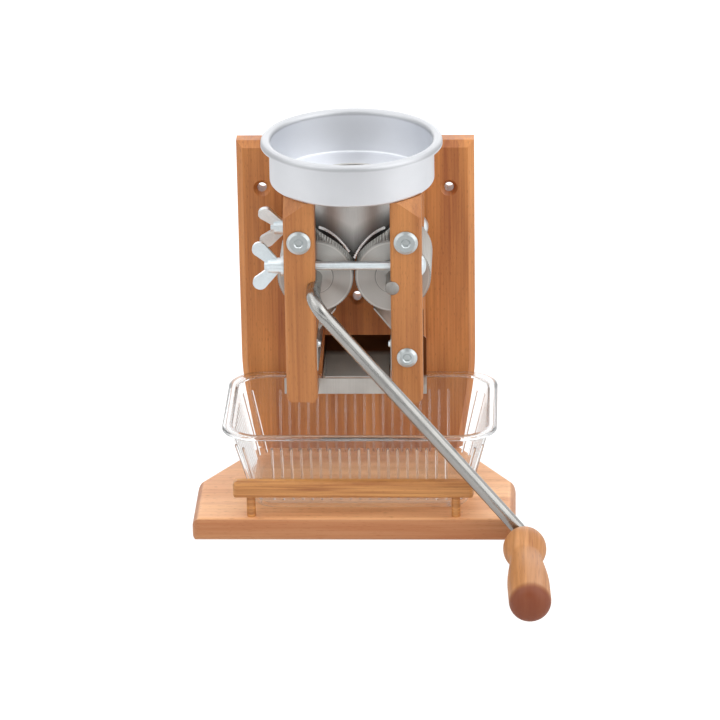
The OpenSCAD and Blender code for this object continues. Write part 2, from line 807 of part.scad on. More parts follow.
module grip_ring() {
  color(zinc) in_pin() translate([0, 0, pin_end - ring_back + press_c]) difference() {
    cylinder(d = ring_d, h = ring_t);
    translate([0, 0, -1]) cylinder(d = axle_d - 2 + 2 * press_c, h = ring_t + 2);
  }
}

// radius of the turned grip at a distance t from its end at the arm:
// a ball, a long swelling after the waist and a rounded end
ball_l = grip_ball_d * 0.86;
ball_middle = grip_ball_d * 0.46;
end_l = grip_end_d * 0.42;
neck_r = grip_waist_d / 2 - 1;
swell_l = (grip_l - end_l - ball_l) * 0.74;
function ease(u) = u >= 1 ? 1 : u * u * (3 - 2 * u);
function grip_r(t) =
  t < ball_l ? max(neck_r, sqrt(max(0, pow(grip_ball_d / 2, 2) - pow(t - ball_middle, 2))))
  : t < grip_l - end_l ? neck_r + (grip_end_d / 2 - neck_r) * ease((t - ball_l) / swell_l)
  : grip_end_d / 2 * sqrt(max(0, 1 - pow((t - grip_l + end_l) / end_l, 2.4)));

module grip() {
  n = 56;
  bore = axle_d / 2 + run_c;
  groove_z = pin_l - ring_back;
  outside = [for (i = [0 : n]) [grip_r(grip_l * i / n), grip_l * i / n]];
  ring_r = ring_d / 2 + 0.4;
  inside = [[0, pin_l + 1], [bore, pin_l + 1], [bore, groove_z + ring_t + 0.5],
            [ring_r, groove_z + ring_t + 0.5], [ring_r, groove_z - 0.5], [bore, groove_z - 0.5], [bore, 0]];
  color(pale_wood) in_pin() translate([0, 0, grip_start]) rotate_extrude()
    polygon(concat(inside, [for (i = [0 : n]) if (outside[i][0] > 0.05) outside[i]], [[0, grip_l]]));
}

pan_z = post_top;
hopper_x = mill_x + hopper_shift;
hopper_y = mill_y - hopper_fore;

// the pan's section: flat floor, tight bottom edge, straight wall and a half-round rolled rim
module hopper_pan() {
  r = pan_d / 2;
  t = pan_wall;
  step = 10;
  edge_x = r - pan_edge_r;
  roll_r = (rim_w + t) / 2;
  roll_x = r + rim_w - roll_r;
  roll_z = pan_h - roll_r;
  function edge(q, a) = [edge_x + q * sin(a), pan_edge_r - q * cos(a)];
  function roll(q, a) = [roll_x + q * cos(a), roll_z + q * sin(a)];
  hole = tube_top_d / 2 + press_c;
  color(alu) translate([hopper_x, hopper_y, pan_z]) rotate_extrude($fn = 128) polygon(concat(
    [[hole, 0]],
    [for (a = [0 : step : 90]) edge(pan_edge_r, a)],
    [for (a = [180 : -step : 0]) roll(roll_r - t, a)],
    [[r + rim_w - t, roll_z - rim_lip], [r + rim_w, roll_z - rim_lip]],
    [for (a = [0 : step : 180]) roll(roll_r, a)],
    [for (a = [90 : -step : 0]) edge(pan_edge_r - t, a)],
    [[hole, t]]));
}

// a tapered tube through the pan's floor, cut round above the two rollers
module feed_tube() {
  taper_h = pan_z - axle_h;
  slope = (tube_top_d - tube_d) / (taper_h - roller_d / 2);
  low_d = tube_top_d - slope * taper_h;
  floor_z = pan_z + pan_wall;
  module taper(c) {
    translate([0, 0, axle_h]) cylinder(d1 = low_d - c, d2 = tube_top_d - c, h = taper_h, $fn = 96);
    translate([0, 0, pan_z - e]) cylinder(d = tube_top_d - c, h = pan_wall + c + e, $fn = 96);
  }
  color(steel) difference() {
    translate([hopper_x, hopper_y, 0]) difference() {
      union() {
        taper(0);
        translate([0, 0, floor_z]) cylinder(r = tube_top_d / 2 + tube_flange, h = tube_flange_t, $fn = 96);
      }
      taper(2 * tube_wall);
    }
    for (s = [-1, 1])
      along_y(mill_x + s * axle_x, roller_y - 5, axle_h)
        cylinder(r = roller_d / 2 + tube_roller_gap, h = roller_l + 10, $fn = 96);
  }
}

// one right-hand scraper in the mill's own frame: a leg along the posts and a blade up to the roller
module scraper() {
  q = roller_d / 2 + scraper_gap;
  tip = [axle_x - q * sin(scraper_angle), axle_h - q * cos(scraper_angle)];
  x1 = post_in;
  x0 = post_in - scraper_t;
  zb = top + scraper_bend_z;
  d = [x1 - tip[0], zb - tip[1]] / norm([x1 - tip[0], zb - tip[1]]);
  n = [d[1], -d[0]] * scraper_t;
  leg_y = front_y + 3;
  leg_l = rear_y + post_t - 3 - leg_y;
  blade_y = roller_y + 1;
  blade_l = roller_l - 2;
  difference() {
    union() {
      translate([x0, leg_y, top + scraper_low_z]) cube([scraper_t, leg_l, zb - top - scraper_low_z]);
      translate([0, blade_y + blade_l, 0]) rotate([90, 0, 0]) linear_extrude(blade_l)
        polygon([[x1, zb - 1], [x1, zb], tip, tip + n, [x0, zb - 1 - scraper_t * 0.3]]);
    }
    for (y = [tie_front_y, tie_rear_y])
      along_x(x0 - 1, y, scraper_screw_h) cylinder(d = scraper_screw_d + 2 * bolt_c, h = scraper_t + 2);
  }
}

module scraper_left() {
  color(steel) translate([mill_x, 0, 0]) mirror([1, 0, 0]) scraper();
}

module scraper_right() {
  color(steel) translate([mill_x, 0, 0]) scraper();
}

module scraper_screws() {
  x = post_in - scraper_t;
  head = scraper_screw_d * 0.55;
  for (y = [tie_front_y, tie_rear_y]) difference() {
    union() {
      along_x(x, y, scraper_screw_h) cylinder(d = scraper_screw_d, h = scraper_screw_l);
      along_x(x - head, y, scraper_screw_h)
        cylinder(d1 = scraper_screw_d * 1.4, d2 = scraper_screw_d * 1.9, h = head);
    }
    along_x(x - head - 1, y, scraper_screw_h) cylinder(d = scraper_screw_d * 0.6, h = 1.9, $fn = 6);
  }
}

module scraper_screws_left() {
  color(zinc) translate([mill_x, 0, 0]) mirror([1, 0, 0]) scraper_screws();
}

module scraper_screws_right() {
  color(zinc) translate([mill_x, 0, 0]) scraper_screws();
}

// one of the chute's upright plates: a strip with a fixing tab behind the right post
module chute_plate(y, left, right, low, high) {
  tab_x = post_in + 0.6;
  tab_z = top + chute_tab_z;
  cut = 3;
  translate([0, y + chute_t, 0]) rotate([90, 0, 0]) linear_extrude(chute_t)
    polygon([[-left, low], [right, low], [right, tab_z - cut], [right - cut, tab_z],
             [tab_x, tab_z], [tab_x, high], [-left, high]]);
}

// a front lip, a slide that slopes down from the rear posts and two side walls
module chute() {
  t = chute_t;
  y0 = front_y + post_t;
  y1 = rear_y - t;
  z0 = top + chute_low_z;
  z1 = z0 + chute_back_h;
  drop = t / cos(atan(chute_back_h / chute_run));
  color(steel) translate([mill_x, 0, 0]) difference() {
    union() {
      chute_plate(y0, post_out + chute_over_left, post_out + chute_over_right, z0, z0 + chute_lip_h);
      chute_plate(y1, chute_w / 2, post_out - chute_rear_inset, z1 - chute_flange_h, z1);
      translate([-chute_w / 2, 0, 0]) rotate([90, 0, 90]) linear_extrude(chute_w)
        polygon([[y1 + t, z1], [y1, z1], [y1 - chute_run, z0 + drop], [y1 - chute_run, z0],
                 [y1, z1 - drop], [y1 + t, z1 - drop]]);
      for (x = [-chute_w / 2, chute_w / 2 - t])
        translate([x, 0, 0]) rotate([90, 0, 90]) linear_extrude(t)
          polygon([[y0, z0], [y1 + t, z0], [y1 + t, z1], [y0, z0 + chute_lip_h]]);
    }
    along_y(bolt_x, y0 - 1, top + low_bolt_z) cylinder(d = bolt_d + 2 * bolt_c, h = y1 - y0 + 4);
  }
}

// how far the tray's wall lies inside its rim's outline at height z, and the radius of its corners there
corner_draw = 0.45;
function tray_inset(z) = tray_rim_w + (tray_h - z) * tray_in;
function tray_round(inset) = max(1, tray_corner_r - inset * corner_draw);

// thin discs at the corners of the tray's tapered body, pulled in by c on every side
module tray_body(c, z0, z1) {
  for (sx = [-1, 1], sy = [0, 1], z = [z0, z1]) {
    in = tray_inset(z) + c;
    r = tray_round(in);
    x = tray_w / 2 - in - r;
    y = sy == 0 ? tray_y0 + in + r : tray_y1 - in - r;
    translate([tray_x + sx * x, y, top + z - (z == z1 ? e : 0)]) cylinder(r = r, h = e, $fn = 32);
  }
}

module tray_rim() {
  r = tray_corner_r;
  for (sx = [-1, 1], y = [tray_y0 + r, tray_y1 - r])
    translate([tray_x + sx * (tray_w / 2 - r), y, top + tray_h - tray_rim_t])
      cylinder(r = r, h = tray_rim_t, $fn = 48);
}

// one flute down a wall, between two points of the wall's outside
module flute(low, high) {
  v = high - low;
  l = norm(v);
  translate(low) rotate([0, acos(v[2] / l), atan2(v[1], v[0])]) {
    cylinder(r = flute_r, h = l, $fn = 16);
    translate([0, 0, l]) sphere(r = flute_r, $fn = 16);
  }
}

// points of the wall's outside at height z: on the long walls, the short walls and round a corner
function long_wall(s, x, z) = [tray_x + x,
  s < 0 ? tray_y0 + tray_inset(z) : tray_y1 - tray_inset(z), top + z];
function short_wall(s, y, z) = [tray_x + s * (tray_w / 2 - tray_inset(z)),
  (tray_y0 + tray_y1) / 2 + y, top + z];
function round_wall(sx, sy, turn, z) = let (in = tray_inset(z), r = tray_round(in))
  [tray_x + sx * (tray_w / 2 - in - r + r * cos(turn)),
   (sy < 0 ? tray_y0 + in + r : tray_y1 - in - r) + sy * r * sin(turn), top + z];

module tray_flutes() {
  edge = tray_inset(flute_foot) + tray_corner_r;
  nx = floor((tray_w / 2 - edge) / flute_pitch);
  ny = floor((tray_d / 2 - edge) / flute_pitch);
  turn = 90 / (corner_flutes + 1);
  for (s = [-1, 1]) {
    for (i = [-nx : nx])
      flute(long_wall(s, i * flute_pitch, flute_foot), long_wall(s, i * flute_pitch, flute_h));
    for (i = [-ny : ny])
      flute(short_wall(s, i * flute_pitch, flute_foot), short_wall(s, i * flute_pitch, flute_h));
    for (sx = [-1, 1], i = [1 : corner_flutes])
      flute(round_wall(sx, s, i * turn, flute_foot), round_wall(sx, s, i * turn, flute_h));
  }
}

module tray() {
  color("#dfe8ea") difference() {
    union() {
      hull() tray_body(0, 0, tray_h);
      hull() tray_rim();
      tray_flutes();
    }
    hull() tray_body(tray_wall / cos(tray_flare), tray_wall, tray_h + 2);
  }
}

base_plate();
back_board();
base_screws();
rail();
rail_dowels();
post_right_front();
post_right_rear();
post_left_front();
post_left_rear();
frame_bolts();
bolt_spacers();
board_spacers();
sleeve_nuts();
tie_bolts();
tie_washer_front();
tie_washer_rear();
wing_nut_front();
wing_nut_rear();
roller_left();
roller_right();
axle_right();
crank_rod();
grip_ring();
grip();
hopper_pan();
feed_tube();
scraper_left();
scraper_right();
scraper_screws_left();
scraper_screws_right();
chute();
tray();
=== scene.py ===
"""Looks of a hand-cranked grain flaker: oiled beech, spun aluminium, machined steel,
bright zinc and clear plastic."""

import json
import math

import bmesh
import bpy
from mathutils import Matrix, Vector


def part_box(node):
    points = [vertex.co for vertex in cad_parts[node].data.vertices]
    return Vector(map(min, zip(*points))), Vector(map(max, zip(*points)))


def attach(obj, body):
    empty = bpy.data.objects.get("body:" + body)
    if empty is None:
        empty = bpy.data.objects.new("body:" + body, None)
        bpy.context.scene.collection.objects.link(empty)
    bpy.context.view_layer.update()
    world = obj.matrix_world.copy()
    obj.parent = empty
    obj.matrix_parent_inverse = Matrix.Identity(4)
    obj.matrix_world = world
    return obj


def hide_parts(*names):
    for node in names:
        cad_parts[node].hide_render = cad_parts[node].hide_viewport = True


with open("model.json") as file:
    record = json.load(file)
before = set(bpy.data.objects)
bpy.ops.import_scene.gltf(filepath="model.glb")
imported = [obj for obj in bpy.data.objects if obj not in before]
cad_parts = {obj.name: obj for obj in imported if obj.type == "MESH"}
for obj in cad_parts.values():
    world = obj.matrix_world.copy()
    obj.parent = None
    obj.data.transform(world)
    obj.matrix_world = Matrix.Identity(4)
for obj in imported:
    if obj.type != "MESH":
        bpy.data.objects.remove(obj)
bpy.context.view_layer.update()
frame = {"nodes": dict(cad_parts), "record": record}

MM = 0.001
nodes = frame["nodes"]


def middle(node):
    """Middle of a CAD node's box."""
    low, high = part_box(node)
    return (low + high) / 2


# Colours and shader nodes


def colour(hex_code):
    """Linear colour of an sRGB hex code."""
    parts = [int(hex_code[i : i + 2], 16) / 255 for i in (1, 3, 5)]
    linear = [c / 12.92 if c <= 0.04045 else ((c + 0.055) / 1.055) ** 2.4 for c in parts]
    return tuple(linear) + (1.0,)


def grey(level):
    """A linear grey."""
    return (level, level, level, 1.0)


def add(tree, kind, values=None, links=None, stops=(), **settings):
    """Adds one shader node: its settings, values, links and the stops of a colour ramp.

    A link from a node takes its first output."""
    node = tree.nodes.new("ShaderNode" + kind)
    for name, value in settings.items():
        setattr(node, name, value)
    for key, value in (values or {}).items():
        node.inputs[key].default_value = value
    for key, source in (links or {}).items():
        tree.links.new(getattr(source, "outputs", [source])[0], node.inputs[key])
    for index, (position, tint) in enumerate(stops):
        elements = node.color_ramp.elements
        element = elements[index] if index < 2 else elements.new(position)
        element.position = position
        element.color = tint
    return node


def new_material(name):
    """A material with Object coordinates and a Principled shader joined to its output."""
    material = bpy.data.materials.new(name)
    material.use_nodes = True
    tree = material.node_tree
    tree.nodes.clear()
    shader = add(tree, "BsdfPrincipled")
    add(tree, "OutputMaterial", links={"Surface": shader})
    place = add(tree, "TexCoord").outputs["Object"]
    return material, tree, shader, place


def long_noise(tree, place, size_mm, detail, seed):
    """Noise whose marks have about the given size along X, Y and Z."""
    values = {"Scale": [1 / (size * MM) for size in size_mm], "Location": (seed, seed * 0.7, seed * 0.3)}
    spot = add(tree, "Mapping", values, {"Vector": place})
    values = {"Scale": 1.0, "Detail": detail, "Roughness": 0.55}
    return add(tree, "TexNoise", values, {"Vector": spot}).outputs["Fac"]


def beech(name, pale, deep, fleck, grain, bands, flecks, roughness, seed, soak_and_shade=None):
    """Beech, planed or turned and oiled: warm slow bands, fine straight fibres and short dark ray
    flecks, with a soft sheen that the fibres break up.

    grain, bands and flecks are sizes in mm along X, Y and Z. Real fibres are a tenth of a
    millimetre wide; these are drawn coarser so that they show. The last argument is a function that
    gives a mask of a darker part: on the grip's end, end grain where more oil soaks in, with painted
    shade; on the base's sides, painted shade alone."""
    material, tree, shader, place = new_material(name)
    slow = long_noise(tree, place, bands, 2.0, seed)
    fibres = long_noise(tree, place, grain, 4.0, seed + 3)
    specks = long_noise(tree, place, flecks, 0.0, seed + 7)
    base = add(tree, "MapRange", {1: 0.3, 2: 0.7, 3: -0.1, 4: 0.4}, {0: slow})
    tone = add(tree, "Math", {1: 0.7}, {0: fibres, 2: base}, operation="MULTIPLY_ADD")
    wood = add(tree, "ValToRGB", links={0: tone}, stops=[(0.2, colour(deep)), (0.8, colour(pale))])
    mask = add(tree, "MapRange", {1: 0.66, 2: 0.78, 3: 0.0, 4: 0.3}, {0: specks})
    surface = add(tree, "Mix", {"B": colour(fleck)}, {"A": wood, "Factor": mask}, data_type="RGBA")
    if soak_and_shade:
        links = {"A": surface.outputs["Result"], "Factor": soak_and_shade(tree, place)}
        surface = add(tree, "Mix", {"B": colour(fleck)}, links, data_type="RGBA")
    tree.links.new(surface.outputs["Result"], shader.inputs["Base Color"])
    sheen = add(tree, "MapRange", {1: 0.3, 2: 0.7, 3: roughness - 0.06, 4: roughness + 0.08}, {0: fibres})
    tree.links.new(sheen.outputs[0], shader.inputs["Roughness"])
    relief = add(tree, "Math", {1: -0.6}, {0: mask, 2: fibres}, operation="MULTIPLY_ADD")
    bump = add(tree, "Bump", {"Strength": 0.25, "Distance": 0.1 * MM}, {"Height": relief})
    tree.links.new(bump.outputs["Normal"], shader.inputs["Normal"])
    return material


def soak_and_shade_end(start, axis, reach_mm, soft_mm, strength):
    """Mask that grows darker from reach_mm along axis: painted shade, with oil-soaked end grain where it
    falls on an end.
    """
    def mask(tree, place):
        moved = add(tree, "VectorMath", {1: start}, {0: place}, operation="SUBTRACT")
        along = add(tree, "VectorMath", {1: axis}, {0: moved}, operation="DOT_PRODUCT").outputs["Value"]
        values = {1: reach_mm * MM, 2: (reach_mm + soft_mm) * MM, 3: 0.0, 4: strength}
        return add(tree, "MapRange", values, {0: along}, interpolation_type="SMOOTHSTEP")
    return mask


def round_place(tree, place, centre, axis):
    """Distance from an axis through centre, for turned and spun marks."""
    keep = [0.0 if name == axis else 1.0 for name in "XYZ"]
    values = {"Location": [-c * k for c, k in zip(centre, keep)], "Scale": keep}
    moved = add(tree, "Mapping", values, {"Vector": place})
    return add(tree, "VectorMath", links={0: moved}, operation="LENGTH").outputs["Value"]


def metal(name, tint, roughness, spread, marks, relief_mm, stretch=0.0, axis="Z", cloud=0.5, shade=None):
    """A metal whose fine marks vary its roughness, tone and relief.

    marks is a function of the node tree and coordinates; stretch draws the highlight out
    across turned marks round axis; cloud is the strength of the slow haze; shade is a function
    that gives a colour to multiply into the tint."""
    material, tree, shader, place = new_material(name)
    shader.inputs["Metallic"].default_value = 1.0
    shader.inputs["Anisotropic"].default_value = stretch
    if stretch:
        shader.inputs["Anisotropic Rotation"].default_value = 0.25
        tangent = add(tree, "Tangent", direction_type="RADIAL", axis=axis)
        tree.links.new(tangent.outputs["Tangent"], shader.inputs["Tangent"])
    fine = marks(tree, place)
    haze = add(tree, "TexNoise", {"Scale": 1 / (18 * MM), "Detail": 2.0}, {"Vector": place})
    light = colour(tint)
    dark = tuple(c * 0.8 for c in light[:3]) + (1.0,)
    slow = add(tree, "MapRange", {1: 0.3, 2: 0.7, 3: 0.5 - cloud, 4: 0.5}, {0: haze})
    tone = add(tree, "Math", {1: 0.5}, {0: fine, 2: slow}, operation="MULTIPLY_ADD")
    mixed = add(tree, "ValToRGB", links={0: tone}, stops=[(0.1, dark), (0.7, light)]).outputs[0]
    if shade:
        links = {"A": mixed, "B": shade(tree, place)}
        toned = add(tree, "Mix", {"Factor": 1.0}, links, data_type="RGBA", blend_type="MULTIPLY")
        mixed = toned.outputs["Result"]
    tree.links.new(mixed, shader.inputs["Base Color"])
    polish = add(tree, "MapRange", {1: 0.1, 2: 0.8, 3: roughness + spread, 4: roughness}, {0: tone})
    tree.links.new(polish.outputs[0], shader.inputs["Roughness"])
    bump = add(tree, "Bump", {"Strength": 0.5, "Distance": relief_mm * MM}, {"Height": fine})
    tree.links.new(bump.outputs["Normal"], shader.inputs["Normal"])
    return material


def ring_marks(centre, axis, pitch_mm):
    """Concentric turning marks round an axis."""
    def marks(tree, place):
        radius = round_place(tree, place, centre, axis)
        values = {"W": 0.0, "Scale": 1 / (pitch_mm * MM), "Detail": 3.0}
        return add(tree, "TexNoise", values, {"W": radius}, noise_dimensions="1D").outputs["Fac"]
    return marks


def face_painted_light(centre, axis, hub_mm, rim_mm):
    """Painted light on a turned face: a painted shade line with a painted highlight at the hub's foot, a
    painted highlight on the rim and painted shade on the grooves past it."""
    def shade(tree, place):
        radius = round_place(tree, place, centre, axis)
        share = add(tree, "MapRange", {1: 0.0, 2: rim_mm * MM, 3: 0.0, 4: 1.0}, {0: radius})
        hub = hub_mm / rim_mm
        levels = [(hub - 0.03, 0.8), (hub - 0.02, 1.0), (hub, 0.3), (hub + 0.02, 0.8)]
        levels += [(0.92, 0.8), (0.94, 1.0), (1.0, 0.55)]
        stops = [(spot, grey(level)) for spot, level in levels]
        return add(tree, "ValToRGB", links={0: share}, stops=stops)
    return shade


def painted_gap_shade(centres, axis, reach_mm, fade_mm):
    """Painted shade on an edge: near black within a distance from either of two axes, fading out above it.
    """
    def shade(tree, place):
        links = {i: round_place(tree, place, centre, axis) for i, centre in enumerate(centres)}
        near = add(tree, "Math", links=links, operation="MINIMUM")
        values = {1: (reach_mm - 0.5) * MM, 2: (reach_mm + fade_mm) * MM, 3: 0.0, 4: 1.0}
        share = add(tree, "MapRange", values, {0: near})
        stops = [(0.0, grey(0.1)), (1.0, grey(1.0)), (0.06, grey(0.25))]
        return add(tree, "ValToRGB", links={0: share}, stops=stops)
    return shade


def painted_tone_above(height, soft_mm, tone):
    """Painted light on a sheet: a tone multiplied into it above a height, none below it."""
    def shade(tree, place):
        up = add(tree, "SeparateXYZ", links={0: place}).outputs["Z"]
        share = add(tree, "MapRange", {1: height, 2: height + soft_mm * MM, 3: 0.0, 4: 1.0}, {0: up})
        return add(tree, "ValToRGB", links={0: share}, stops=[(0.0, grey(1.0)), (1.0, colour(tone))])
    return shade


def straight_marks(size_mm):
    """Straight marks of a size in mm along X, Y and Z, as on rolled sheet, drawn rod and plate."""
    return lambda tree, place: long_noise(tree, place, size_mm, 2.0, 2.0)


def clear_wall(name):
    """Clear polystyrene, moulded thin: see-through face on, whiter and glossy where it turns away."""
    material, tree, shader, place = new_material(name)
    shader.inputs["Base Color"].default_value = colour("#f6f9fa")
    shader.inputs["IOR"].default_value = 1.59
    facing = add(tree, "LayerWeight", {"Blend": 0.5}).outputs["Facing"]
    levels = [(0.0, 0.015), (0.5, 0.04), (0.85, 0.2), (1.0, 0.8)]
    body = add(tree, "ValToRGB", links={0: facing}, stops=[(spot, grey(level)) for spot, level in levels])
    tree.links.new(body.outputs[0], shader.inputs["Alpha"])
    ripple = add(tree, "TexNoise", {"Scale": 1 / (9 * MM), "Detail": 1.0}, {"Vector": place})
    polish = add(tree, "MapRange", {1: 0.3, 2: 0.7, 3: 0.05, 4: 0.12}, {0: ripple})
    tree.links.new(polish.outputs[0], shader.inputs["Roughness"])
    bump = add(tree, "Bump", {"Strength": 0.2, "Distance": 0.2 * MM}, {"Height": ripple})
    tree.links.new(bump.outputs["Normal"], shader.inputs["Normal"])
    return material


def clear_solid(name, clearness, ior, edges):
    """The same polystyrene in thick ribs and lip: it bends what lies behind and greys at its grazing edges
    by painted shade.

    clearness is the share of light let through; ior is how strongly it bends light; edges are
    (facing, tint) pairs of the painted edge shade."""
    material, tree, shader, place = new_material(name)
    shader.inputs["Transmission Weight"].default_value = clearness
    shader.inputs["IOR"].default_value = ior
    facing = add(tree, "LayerWeight", {"Blend": 0.5}).outputs["Facing"]
    # Painted shade: the tint greys as the surface turns away from the eye.
    depth = add(tree, "ValToRGB", links={0: facing}, stops=[(spot, colour(tint)) for spot, tint in edges])
    tree.links.new(depth.outputs[0], shader.inputs["Base Color"])
    ripple = add(tree, "TexNoise", {"Scale": 1 / (6 * MM), "Detail": 1.0}, {"Vector": place})
    polish = add(tree, "MapRange", {1: 0.3, 2: 0.7, 3: 0.02, 4: 0.08}, {0: ripple})
    tree.links.new(polish.outputs[0], shader.inputs["Roughness"])
    return material


# Materials on the CAD nodes


def dress(material, *names):
    """Gives CAD nodes a material."""
    for name in names:
        slots = nodes[name].data.materials
        slots.clear()
        slots.append(material)


grip_joint = [joint for joint in frame["record"]["behaviour"]["joints"] if joint["name"] == "grip_spin"][0]
grip_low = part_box("grip")[0]
grip_reach = (grip_joint["pos_m"][1] - grip_low.y) / -grip_joint["axis"][1] / MM
# The grip's end is darker: end grain that soaks up oil, with painted shade where it faces down, away from
# the lamps.
GRIP_END_DEPTH = 14
GRIP_END_SOFT = 8
grip_end_grain_and_shade = soak_and_shade_end(grip_joint["pos_m"], grip_joint["axis"], grip_reach - GRIP_END_DEPTH,
                      GRIP_END_SOFT, 0.93)
base_low, base_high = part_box("base_plate")
# Painted shade: the base's sides below its top are darkened, so that the top reads lighter.
BASE_SIDE_SHADE_SOFT = 1.2
base_side_shade = soak_and_shade_end((0, 0, base_high.z), (0, 0, -1), 0.0, BASE_SIDE_SHADE_SOFT, 0.6)
board_beech = beech("planed_beech_board", "#d8904f", "#a05a2e", "#7a4526", (1.5, 8, 70), (14, 20, 220),
                    (0.6, 2, 4), 0.42, 1.0)
base_beech = beech("planed_beech_base", "#fcc48e", "#d8925f", "#8a420e", (80, 2.6, 1.4), (220, 16, 9),
                   (5, 1.5, 0.6), 0.4, 5.0, base_side_shade)
rail_beech = beech("planed_beech_rail", "#e0a25e", "#98582a", "#8a5430", (50, 3, 1.3), (160, 8, 4),
                   (4, 1.5, 0.6), 0.42, 6.0)
post_beech = beech("planed_beech_posts", "#cf8b4f", "#a76535", "#80502d", (1.5, 5, 80), (12, 20, 220),
                   (0.6, 2, 4), 0.44, 9.0)
grip_beech = beech("turned_beech_grip", "#d89c66", "#a2652f", "#78320f", (1.3, 70, 24), (6, 160, 30),
                   (0.5, 12, 7), 0.45, 13.0, grip_end_grain_and_shade)
dress(board_beech, "back_board")
dress(base_beech, "base_plate")
dress(rail_beech, "rail", "rail_dowels")
dress(post_beech, "post_left_front", "post_left_rear", "post_right_front", "post_right_rear")
dress(grip_beech, "grip")

# Spun aluminium, etched satin: an even pale grey with hardly any rings, a broad soft gloss and a
# rolled rim greyed a little by painted shade.
spun_marks = ring_marks(middle("hopper_pan"), "Z", 0.7)
RIM_SHADE_H = 4.5
painted_rim_shade = painted_tone_above(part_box("hopper_pan")[1].z - RIM_SHADE_H * MM, 1.5, "#d6d6d6")
spun_aluminium = metal("spun_aluminium", "#e6e8ec", 0.46, 0.04, spun_marks, 0.005, cloud=0.08,
                       shade=painted_rim_shade)
dress(spun_aluminium, "hopper_pan")
# Turned steel: fine rings draw the highlights out into wedges that fan from the axle.
HUB_R = 12.6
FACE_R = 27.0
for side in ("left", "right"):
    turned = ring_marks(middle("roller_" + side), "Y", 0.5)
    # Painted light on each face: highlights at the hub's foot and rim, shade on the grooves.
    face = face_painted_light(middle("roller_" + side), "Y", HUB_R, FACE_R)
    steel = metal("turned_steel_" + side, "#ebe9e4", 0.42, 0.1, turned, 0.004, 1.0, "Y", 0.2, face)
    dress(steel, "roller_" + side)
# Drawn bright steel: long faint lines and a clear but soft mirror.
rod_marks = straight_marks((0.4, 30, 0.4))
dress(metal("drawn_steel", "#b0afac", 0.22, 0.08, rod_marks, 0.005), "crank_rod")
# Turned axle steel: duller than the drawn rod, with a broad grey sheen on its end.
dress(metal("turned_axle_steel", "#aaa7a3", 0.45, 0.1, rod_marks, 0.005), "axle_right")
# Rolled stainless sheet: a soft grey gloss with faint upright lines.
sheet_marks = straight_marks((0.5, 0.5, 24))
rolled_sheet = metal("rolled_stainless", "#c8c5c0", 0.42, 0.12, sheet_marks, 0.005)
dress(rolled_sheet, "scraper_left", "scraper_right")
roller_left, roller_right = middle("roller_left"), middle("roller_right")
# Blasted stainless tube: a matt grey without mirror images, with painted shade that darkens it towards the
# rollers and is near black at the gap.
GAP_SHADE_R = 33.4
GAP_SHADE_FADE = 14
painted_tube_shade = painted_gap_shade((roller_left, roller_right), "Y", GAP_SHADE_R, GAP_SHADE_FADE)
tube_steel = metal("matt_stainless", "#d0cecb", 0.62, 0.1, sheet_marks, 0.005, cloud=0.2, shade=painted_tube_shade)
dress(tube_steel, "feed_tube")
# Polished stainless slide: a clearer mirror, bare at the lip, with painted shade and a painted brown
# reflection of the wood above it.
chute_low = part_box("chute")[0]
LIP_H = 12
painted_slide_reflection = painted_tone_above(chute_low.z + LIP_H * MM, 3, "#8e5c3c")
dress(metal("polished_stainless", "#bdb8b2", 0.3, 0.12, sheet_marks, 0.005, shade=painted_slide_reflection), "chute")
# Bright zinc plate: a cool pale grey with a fine even mottle, duller and finer on the bolt heads.
zinc = metal("bright_zinc", "#eff8fc", 0.38, 0.1, straight_marks((1.6, 1.6, 1.6)), 0.01)
dress(metal("dull_zinc", "#d2d8d9", 0.28, 0.1, straight_marks((1.2, 1.2, 1.2)), 0.01), "frame_bolts")
dress(zinc, "bolt_spacers", "board_spacers", "sleeve_nuts", "tie_bolts")
dress(zinc, "tie_washer_front", "tie_washer_rear", "wing_nut_front", "wing_nut_rear")
dress(zinc, "base_screws", "scraper_screws_left", "scraper_screws_right", "grip_ring")
# Moulded polystyrene: clear walls, a lip that shows as grey and white lines, the grey from painted
# shade at its edges, and ribs that only bend the wood behind them a little, because they are one with the
# wall.
wall_plastic = clear_wall("moulded_polystyrene_wall")
lip_plastic = clear_solid("moulded_polystyrene_lip", 1.0, 1.59,
                          [(0.0, "#fdfefe"), (0.5, "#eef1f3"), (0.8, "#c3c9cd"), (1.0, "#7b8287")])
rib_plastic = clear_solid("moulded_polystyrene_ribs", 0.96, 1.3,
                          [(0.0, "#fdfefe"), (0.8, "#f4f6f7"), (1.0, "#e3e7ea")])
dress(wall_plastic, "tray")


# Pieces finer than the CAD mesh


def finish_piece(name, shape, body, material, sharp_degrees):
    """Makes a bmesh a smooth piece that rides on a body."""
    bmesh.ops.recalc_face_normals(shape, faces=shape.faces)
    mesh = bpy.data.meshes.new(name)
    shape.to_mesh(mesh)
    shape.free()
    mesh.shade_smooth()
    mesh.set_sharp_from_angle(angle=math.radians(sharp_degrees))
    mesh.materials.append(material)
    piece = bpy.data.objects.new(name, mesh)
    bpy.context.scene.collection.objects.link(piece)
    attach(piece, body)
    return piece


def arc(centre, radius, start, stop, steps):
    """Points of an arc in a profile of (distance from the axis, height), by angles in degrees."""
    turns = [math.radians(start + (stop - start) * i / steps) for i in range(steps + 1)]
    return [(centre[0] + radius * math.cos(a), centre[1] + radius * math.sin(a)) for a in turns]


def spun(shape, profile, closed, steps, place):
    """Spins a profile of (distance from the axis, height) in mm round Z and sets it by a matrix."""
    ring = [shape.verts.new((r * MM, 0, h * MM)) for r, h in profile]
    pairs = list(zip(ring, ring[1:] + ring[:1]))
    edges = [shape.edges.new(pair) for pair in (pairs if closed else pairs[:-1])]
    bmesh.ops.spin(shape, geom=ring + edges, cent=(0, 0, 0), axis=(0, 0, 1), angle=math.tau,
                   steps=steps, use_merge=True)
    bmesh.ops.remove_doubles(shape, verts=shape.verts, dist=0.001 * MM)
    bmesh.ops.transform(shape, matrix=place, verts=shape.verts)


